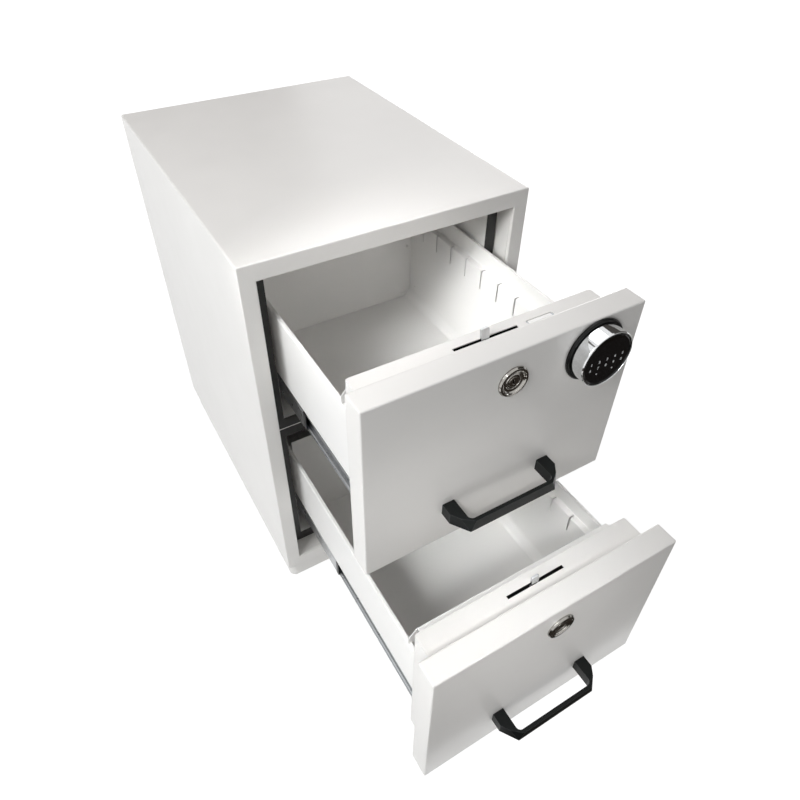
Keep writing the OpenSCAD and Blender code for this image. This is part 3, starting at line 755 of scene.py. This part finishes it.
def rolled_member(node_name, name, opens_outward):
    """A slide member: a channel with rounded folds and a ball race along each flange."""
    low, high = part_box(node_name)
    z0, z1 = low.z / MM, high.z / MM
    mid_z = (low.z + high.z) / 2 / MM
    half_h = (high.z - low.z) / 2 / MM - SLIDE_T / 2
    x_out = high.x / MM
    x_in = min(v.co.x for v in nodes[node_name].data.vertices if v.co.x > 0) / MM
    if opens_outward:
        web, lip = x_in + SLIDE_T / 2, x_out
    else:
        web, lip = x_out - SLIDE_T / 2, x_in
    race = [(web + (lip - web) * along, half_h - GROOVE * down) for along, down in RACE]
    flange = [(lip, half_h), *race, (web, half_h)]
    path = [(x, mid_z + z) for x, z in flange] + [(x, mid_z - z) for x, z in flange[::-1]]
    outline = [(clamp(p.x, x_in, x_out), clamp(p.y, z0, z1))
               for p in sheet_outline(filleted(path, SLIDE_FOLD_R, segments=4), SLIDE_T)]
    bm = mirror_x(extrude_along_y(outline, low.y, high.y))
    stand_in(mesh_object(bm, name, smooth_deg=35), node_name)


for side in SIDES:
    for member, opens_outward in MEMBERS:
        rolled_member(f"{side}_{member}_slides", f"{side}_{member}_members", opens_outward)
    rounded_copy(side + "_slide_buffers", side + "_end_buffers", BUFFER_R, segments=2)


# Handles

HANDLE_EDGE_R = 0.45
HANDLE_LEAST_DEG = 8.0  # so that the bow's shallow facets get a rounded edge too
SECOND_LOOK = 1  # the place of the edges' look in the bow's list of materials


def handle_bow(side):
    """The moulded bow, whose narrow rounded edges get a paler look than its faces: a painted
    highlight.
    """
    node_name = side + "_handle"
    back_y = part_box(node_name)[1].y
    bm = copy_of(node_name)
    round_edges(bm, HANDLE_EDGE_R, lambda e: not on_plane(e, Y, back_y), segments=2,
                least_deg=HANDLE_LEAST_DEG, material=SECOND_LOOK)
    obj = mesh_object(bm, side + "_handle_bow", smooth_deg=28)
    stand_in(obj, node_name)
    obj.data.materials.append(looks["handle_highlight"])


for side in SIDES:
    handle_bow(side)


# Key locks

BARREL_R = 0.5
PLUG_R = 0.35
LATCH_R = 0.5
BEZEL_FILLET = 0.5
BEZEL_PROFILE = [
    (11.3, 0.0), (25.0, 0.0), (25.0, 2.2), (23.4, 4.8), (20.2, 5.0), (19.2, 3.6), (18.2, 3.3),
    (17.0, 2.2), (13.4, 1.7), (12.4, 2.2), (11.3, 2.2), (11.3, 0.0),
]

for side in SIDES:
    bezel = side + "_key_bezel"
    turned(bezel, side + "_bezel_ring", back_centre(bezel), BEZEL_PROFILE, BEZEL_FILLET,
           arc_steps=3, look="darkened_lock_chrome")
    rounded_copy(side + "_lock_barrel", side + "_barrel", BARREL_R, segments=2,
                 look="darkened_lock_chrome")
    rounded_copy(side + "_key_plug", side + "_plug", PLUG_R, segments=2, look="darkened_lock_chrome")
    rounded_copy(side + "_latch_arm", side + "_latch_tab", LATCH_R, segments=2)


# Keypad, whose reaches are measured towards the viewer from the back of its gasket

GASKET_FILLET = 0.8
GASKET_PROFILE = [
    (6.5, 0.0), (52.0, 0.0), (52.0, 3.6), (50.4, 5.0), (47.4, 5.0), (46.8, 4.2), (6.5, 4.2),
    (6.5, 0.0),
]
HOUSING_FILLET = 0.7
HOUSING_PROFILE = [
    (0.0, 5.3), (45.3, 5.3), (46.5, 6.4), (46.5, 27.6), (45.6, 29.3), (44.5, 29.5),
    (44.3, 28.9), (44.3, 7.8), (0.0, 7.8),
]
FACE_FILLET = 0.4
FACE_PROFILE = [
    (0.0, 25.5), (44.2, 25.5), (44.2, 28.6), (43.4, 29.2), (42.2, 29.2), (41.4, 28.3),
    (0.0, 28.3),
]
FINE_STEPS = 128

WINDOW_R = 40.6
WINDOW_CHORD = 31.5  # how high the window's lower edge ends above the keypad's middle
WINDOW_RISE = 3.2  # how much higher that edge is at its middle
WINDOW_ARC_STEPS = 24
WINDOW_CHORD_STEPS = 12
WINDOW_BACK = 28.2
WINDOW_FRONT = 28.9
WINDOW_EDGE_R = 0.25

COLUMN_PITCH = 14.7
ROW_PITCH = 11.0
FIRST_ROW = 0.9
# Each row's marks with the columns that they stand in, where "." is a dot
ROWS = (("12345", (-2, -1, 0, 1, 2)), ("67890", (-2, -1, 0, 1, 2)), ("..", (-1, 1)))
MARK_T = 0.3
DOT_R = 1.3
DOT_REACH = 28.39
DIGIT_SIZE = 6.48  # the font's size, which makes a digit about 4.8 high
DIGIT_BOLDER = 0.18  # how far each stroke's edges are moved out
DIGIT_REACH = 28.35
BOLT_R = 0.8


def keypad():
    """Gasket, turning chrome housing and black key face with its window and numbers."""
    centre = back_centre("keypad_gasket")
    turned("keypad_gasket", "keypad_gasket_ring", centre, GASKET_PROFILE, GASKET_FILLET,
           arc_steps=4, look="gasket_rubber")
    turned("keypad_housing", "keypad_chrome_housing", centre, HOUSING_PROFILE, HOUSING_FILLET,
           arc_steps=4, steps=FINE_STEPS)
    turned("keypad_face", "keypad_black_face", centre, FACE_PROFILE, FACE_FILLET,
           arc_steps=3, steps=FINE_STEPS)
    keypad_window(centre)
    keypad_numbers(centre)


def keypad_window(centre):
    """The crescent-shaped dark window above the numbers."""
    outline = []
    reach = math.acos(WINDOW_CHORD / WINDOW_R)
    for k in range(WINDOW_ARC_STEPS + 1):
        t = math.pi / 2 + reach - 2 * reach * k / WINDOW_ARC_STEPS
        outline.append((WINDOW_R * math.cos(t), WINDOW_R * math.sin(t)))
    half = outline[-1][0]
    for k in range(1, WINDOW_CHORD_STEPS):
        s = 1 - 2 * k / WINDOW_CHORD_STEPS
        outline.append((half * s, WINDOW_CHORD + WINDOW_RISE * (1 - s * s)))
    points = [(centre.x / MM + x, centre.z / MM + z) for x, z in outline]
    front_y = centre.y - WINDOW_FRONT * MM
    bm = extrude_along_y(points, front_y, centre.y - WINDOW_BACK * MM)
    round_edges(bm, WINDOW_EDGE_R, lambda e: on_plane(e, Y, front_y), segments=2)
    obj = mesh_object(bm, "keypad_window", smooth_deg=40)
    place(obj, "keypad_knob", "keypad_black", "window_dark")


def keypad_numbers(centre):
    """Ten plain numbers and two dots, raised a little from the face."""
    bm = bmesh.new()
    for row, (marks, columns) in enumerate(ROWS):
        for mark, column in zip(marks, columns):
            x = centre.x + column * COLUMN_PITCH * MM
            z = centre.z + (FIRST_ROW - row * ROW_PITCH) * MM
            if mark == ".":
                add_cylinder(bm, (x, centre.y - DOT_REACH * MM, z), "X", DOT_R, MARK_T,
                             segments=24)
            else:
                add_digit(bm, mark, (x, centre.y - DIGIT_REACH * MM, z))
    obj = mesh_object(bm, "keypad_numbers", smooth_deg=40)
    place(obj, "keypad_knob", "keypad_black", "digit_white")


def add_digit(bm, digit, centre):
    """Adds one number as a thin raised mesh, facing the viewer."""
    curve = bpy.data.curves.new("digit", "FONT")
    curve.body = digit
    curve.size = DIGIT_SIZE * MM
    curve.align_x, curve.align_y = "CENTER", "CENTER"
    curve.extrude = MARK_T / 2 * MM
    curve.offset = DIGIT_BOLDER * MM
    curve.resolution_u = 3
    holder = bpy.data.objects.new("digit", curve)
    bpy.context.scene.collection.objects.link(holder)
    mesh = evaluated_mesh(holder)
    mesh.transform(Matrix.Translation(centre) @ Matrix.Rotation(math.pi / 2, 4, "X"))
    bm.from_mesh(mesh)
    bpy.data.objects.remove(holder)
    bpy.data.curves.remove(curve)
    bpy.data.meshes.remove(mesh)


keypad()
rounded_copy("electronic_lock_bolt", "electronic_bolt_bar", BOLT_R)


# Studio, in metres

FLOOR_HALF = 30
FLOOR_GAP = 0.0005
# Between two distances from the middle, the share of plain white in the floor's look rises
WHITENS_AT = (0.5, 1.5)
WHITE_SHARE = (0.82, 1.0)
FLOOR_GLOW = 1.14
AMBIENT = 0.12


def aim(obj, at, target, axis):
    """Sets an object at a place, with one of its axes towards a target."""
    obj.location = at
    obj.rotation_mode = "QUATERNION"
    obj.rotation_quaternion = (Vector(target) - Vector(at)).to_track_quat(axis, "Y")


def area_light(name, at, target, size, power, colour=(1, 1, 1), spread_deg=180):
    """A square lamp that the camera doesn't see."""
    data = bpy.data.lights.new(name, "AREA")
    data.size = size
    data.energy = power
    data.color = colour
    data.spread = math.radians(spread_deg)
    light = bpy.data.objects.new(name, data)
    aim(light, at, target, "-Z")
    light.visible_camera = False
    bpy.context.scene.collection.objects.link(light)


def studio_floor():
    """A pale floor that keeps the shadow round the cabinet and reads white beyond it."""
    bm = bmesh.new()
    bmesh.ops.create_grid(bm, x_segments=1, y_segments=1, size=FLOOR_HALF)
    obj = mesh_object(bm, "studio_floor")
    obj.location.z = cad_box[0].z - FLOOR_GAP
    finish = Finish("studio_floor")
    finish.fix("Base Color", (0.85, 0.85, 0.85, 1))
    finish.fix("Roughness", 0.9)
    glow = finish.add("ShaderNodeEmission", {"Color": (1, 1, 1, 1), "Strength": FLOOR_GLOW})
    distance = finish.add("ShaderNodeVectorMath", operation="LENGTH")
    finish.join(finish.coords, distance.inputs[0])
    whiter = finish.add("ShaderNodeMapRange", {
        "From Min": WHITENS_AT[0], "From Max": WHITENS_AT[1],
        "To Min": WHITE_SHARE[0], "To Max": WHITE_SHARE[1]})
    finish.join(distance.outputs["Value"], whiter.inputs["Value"])
    share = finish.add("ShaderNodeMath", operation="MULTIPLY")
    finish.join(finish.backdrop_rays(), share.inputs[0])
    finish.join(whiter.outputs["Result"], share.inputs[1])
    finish.surface("Material Output", share.outputs[0],
                   finish.shader.outputs["BSDF"], glow.outputs["Emission"])
    dress(obj, finish.owner)


def studio_world():
    """Faint even light, and white where the camera, chrome or glass sees past the floor."""
    world = bpy.data.worlds.new("studio")
    bpy.context.scene.world = world
    tree = Tree(world)
    ambient = tree.nodes["Background"]
    ambient.inputs["Color"].default_value = (0.97, 0.98, 1.0, 1)
    ambient.inputs["Strength"].default_value = AMBIENT
    white = tree.add("ShaderNodeBackground", {"Color": (1, 1, 1, 1), "Strength": 1.0})
    tree.surface("World Output", tree.backdrop_rays(),
                 ambient.outputs["Background"], white.outputs["Background"])


def dark_card(name, at, target, width, height, colour):
    """A dark card beyond the picture, which only metal and gloss can show."""
    bm = bmesh.new()
    grow = Matrix.Diagonal((width, height, 1, 1))
    bmesh.ops.create_grid(bm, x_segments=1, y_segments=1, size=0.5, matrix=grow)
    obj = mesh_object(bm, name)
    aim(obj, at, target, "Z")
    finish = Finish(name)
    glow = finish.add("ShaderNodeEmission", {"Color": colour})
    finish.join(glow.outputs["Emission"], finish.nodes["Material Output"].inputs["Surface"])
    dress(obj, finish.owner)
    obj.visible_camera = False
    obj.visible_diffuse = False
    obj.visible_shadow = False
    obj.visible_transmission = False


def camera(azimuth_deg, elevation_deg, roll_deg, at, lens, shift):
    """Adds the camera, by the side it looks from, its height, its roll and its place."""
    azimuth, elevation = math.radians(azimuth_deg), math.radians(elevation_deg)
    roll = math.radians(roll_deg)
    back = Vector((math.sin(azimuth) * math.cos(elevation),
                   -math.cos(azimuth) * math.cos(elevation), math.sin(elevation)))
    right = (-back).cross(Vector((0, 0, 1))).normalized()
    up = right.cross(-back)
    across = math.cos(roll) * right + math.sin(roll) * up
    upward = math.cos(roll) * up - math.sin(roll) * right
    data = bpy.data.cameras.new("photo_camera")
    data.sensor_width = 36.0
    data.lens = lens
    data.shift_x, data.shift_y = shift
    data.clip_start, data.clip_end = 0.05, 100
    obj = bpy.data.objects.new("photo_camera", data)
    turn = Matrix((across, upward, back)).transposed().to_4x4()
    obj.matrix_world = Matrix.Translation(at) @ turn
    bpy.context.scene.collection.objects.link(obj)
    bpy.context.scene.camera = obj


studio_floor()
studio_world()
# The photograph's viewpoint, solved from the cabinet's straight edges
camera(azimuth_deg=-31.128, elevation_deg=42.036, roll_deg=0.925,
       at=(-0.4762, -1.1451, 1.3119), lens=29.753, shift=(-0.0006, -0.0194))
area_light("key_left", at=(-2.0, -1.0, 2.2), target=(0, -0.5, 0.5),
           size=1.4, power=50, colour=(0.97, 0.99, 1.0))
area_light("ceiling_panel", at=(0.0, 0.5, 3.1), target=(0, -0.1, 0.5),
           size=2.0, power=30, colour=(1.0, 0.98, 0.985))
area_light("back_fill", at=(2.3, 1.7, 0.65), target=(0, 0.1, 0.4), size=1.2, power=18)
area_light("floor_bounce", at=(0.1, -1.7, 0.12), target=(0, -0.85, 0.25), size=0.8, power=2.2)
area_light("upper_drawer_fill", at=(-0.55, -0.6, 1.15), target=(0.19, -0.31, 0.56),
           size=0.25, power=0.2, spread_deg=27)
area_light("lower_drawer_fill", at=(-0.8, -1.45, 1.5), target=(0.12, -0.57, 0.13),
           size=0.35, power=0.22, spread_deg=15)
dark_card("dark_card_back", at=(-0.6, 2.6, 2.4), target=(0, -0.5, 0.7),
          width=4.0, height=3.2, colour=(0.10, 0.09, 0.08, 1))
dark_card("dark_card_right", at=(2.8, -0.6, 1.8), target=(0, -0.6, 0.6),
          width=4.0, height=3.0, colour=(0.07, 0.065, 0.06, 1))
dark_card("dark_card_floor", at=(0.6, -1.88, 0.02), target=(0.6, -1.88, 1.0),
          width=3.2, height=2.0, colour=(0.05, 0.042, 0.035, 1))

scene = bpy.context.scene
scene.view_settings.view_transform = "Standard"
